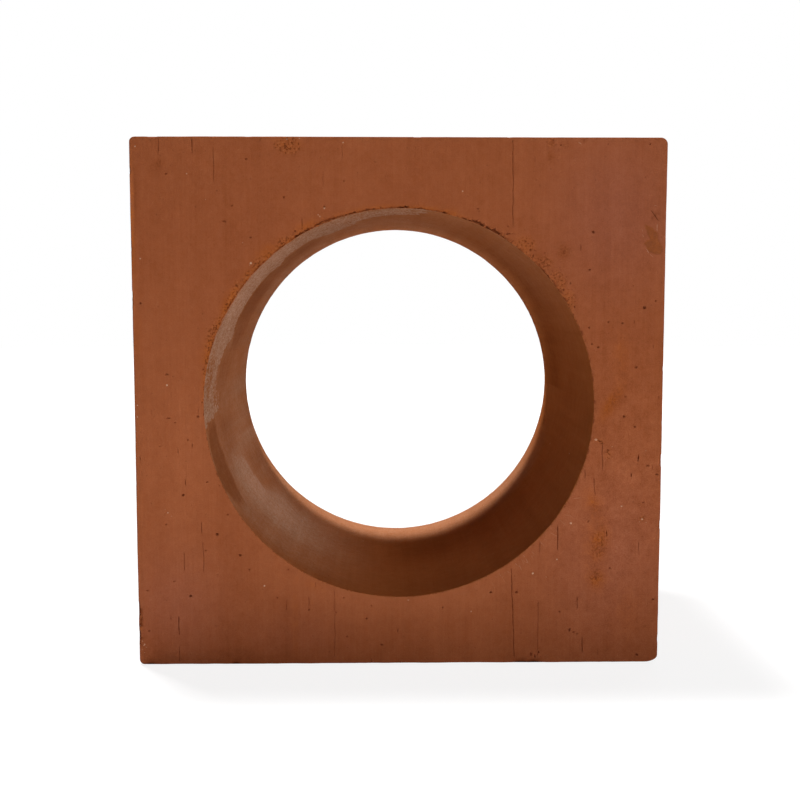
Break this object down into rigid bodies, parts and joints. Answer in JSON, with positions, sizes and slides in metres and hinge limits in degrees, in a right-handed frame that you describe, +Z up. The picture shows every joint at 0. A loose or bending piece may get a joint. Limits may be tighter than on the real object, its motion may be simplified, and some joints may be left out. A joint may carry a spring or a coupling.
{
  "type": "clay ventilation block",
  "caption": "Square fired-clay block with a large round bore from face to face, laid in mortar on its sides in walls, screens and vents.",
  "frame": {"origin": "middle of the underside, the side face that the block stands on", "axes": "+Z up, bore along Y, exposed wire-cut face towards -Y, +X to the right as that face is seen"},
  "size_m": [0.2, 0.13, 0.2],
  "materials": {
    "fired_clay": "matte, wire-cut and unglazed"
  },
  "bodies": {
    "root": {"clay_brick": "fired_clay"}
  },
  "joints": []
}
